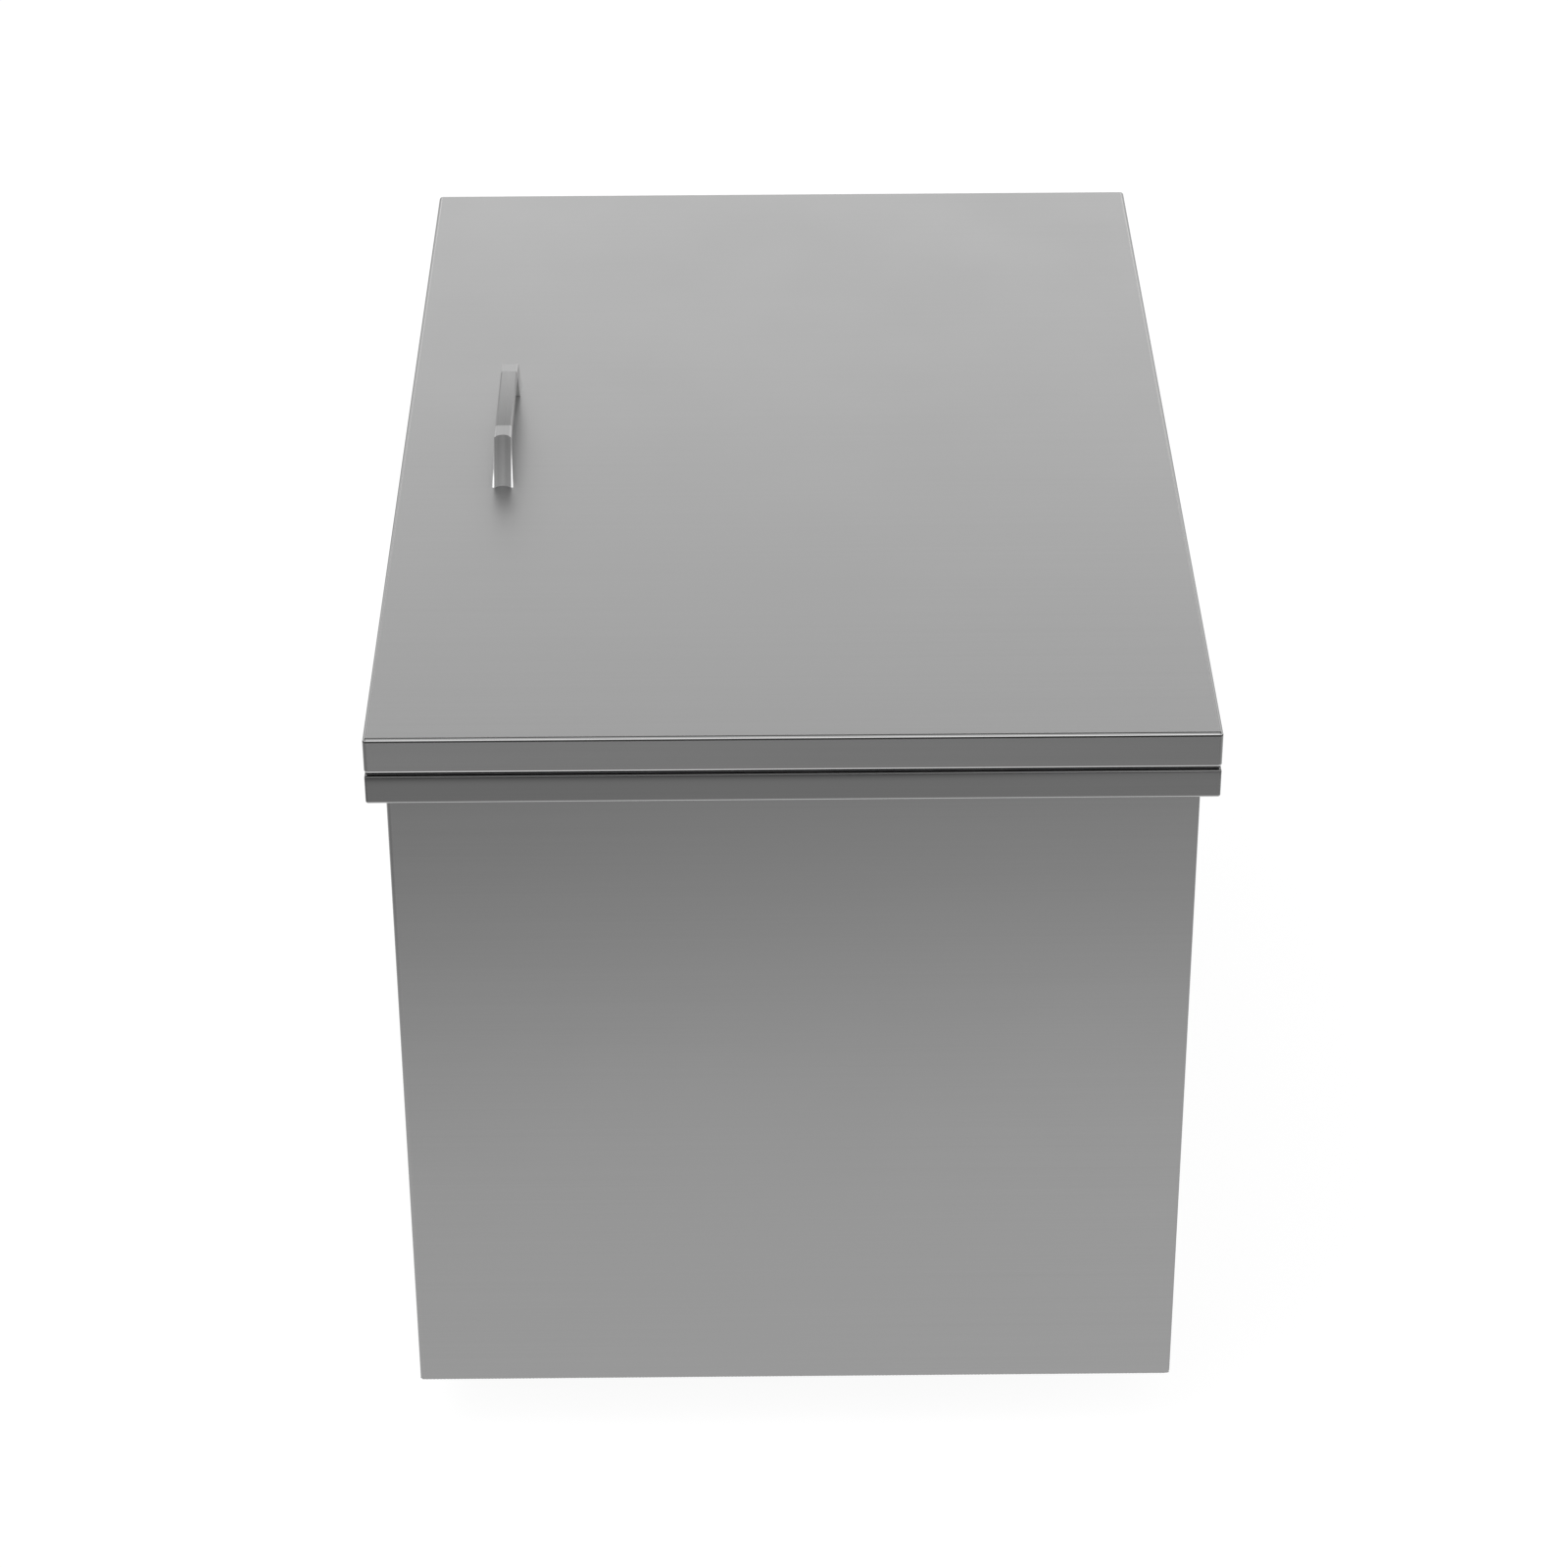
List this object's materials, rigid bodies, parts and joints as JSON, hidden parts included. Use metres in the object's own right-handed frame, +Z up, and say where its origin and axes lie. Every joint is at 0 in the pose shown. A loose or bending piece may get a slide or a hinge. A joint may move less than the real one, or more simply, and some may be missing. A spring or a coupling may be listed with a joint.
{
  "type": "drop-in ice bin",
  "caption": "Insulated stainless ice bin that drops into a counter cut-out, with a hinged insulated lid, a bow handle and a bottom drain with a stopper.",
  "frame": {"origin": "middle of the counter cut-out, in the plane of the counter's top, where the rim rests", "axes": "+X along the lid's long side, +Y from the handle's side towards the hinge, +Z up"},
  "size_m": [0.711, 0.4603, 0.504],
  "materials": {
    "brushed_casing_steel": "fine directional brushing",
    "liner_steel": "smooth satin",
    "hinge_steel": "mill",
    "handle_steel": "satin with polished edges",
    "drain_steel": "turned",
    "bright_steel": "polished",
    "insulation_foam": "cut rigid foam",
    "black_rubber": "matt",
    "red_fibre": "pressed fibre"
  },
  "bodies": {
    "bin": {"tank_liner": "liner_steel", "top_rim": "brushed_casing_steel", "casing_wrap": "brushed_casing_steel", "casing_back": "brushed_casing_steel", "base_pan": "brushed_casing_steel", "foam_board_floor": "insulation_foam", "foam_board_front": "insulation_foam", "foam_board_back": "insulation_foam", "foam_board_left": "insulation_foam", "foam_board_right": "insulation_foam", "hinge_leaf_lower": "hinge_steel", "hinge_pin": "hinge_steel", "rim_hinge_bar": "hinge_steel", "drain_body": "drain_steel", "drain_crossbar": "drain_steel", "drain_washer": "black_rubber", "drain_sleeve": "drain_steel", "lock_washer": "red_fibre", "drain_locknut": "drain_steel", "drain_strainer": "drain_steel", "strainer_screw": "bright_steel"},
    "lid": {"lid_pan": "brushed_casing_steel", "lid_liner": "liner_steel", "lid_foam": "insulation_foam", "lid_seal": "black_rubber", "hinge_leaf_upper": "hinge_steel", "lid_hinge_bar": "hinge_steel", "handle_bar": "handle_steel", "handle_backing": "hinge_steel", "handle_screws": "bright_steel"},
    "stopper": {"plug_body": "black_rubber", "plug_loop": "bright_steel"}
  },
  "joints": [
    {"name": "lid_hinge", "type": "hinge", "parent": "bin", "child": "lid", "pos_m": [0, 0.23, 0.01765], "axis": [-1, 0, 0], "range_deg": [0, 110]},
    {"name": "stopper_lift", "type": "slide", "parent": "bin", "child": "stopper", "axis": [0, 0, 1], "range_m": [0, 0.12]}
  ]
}
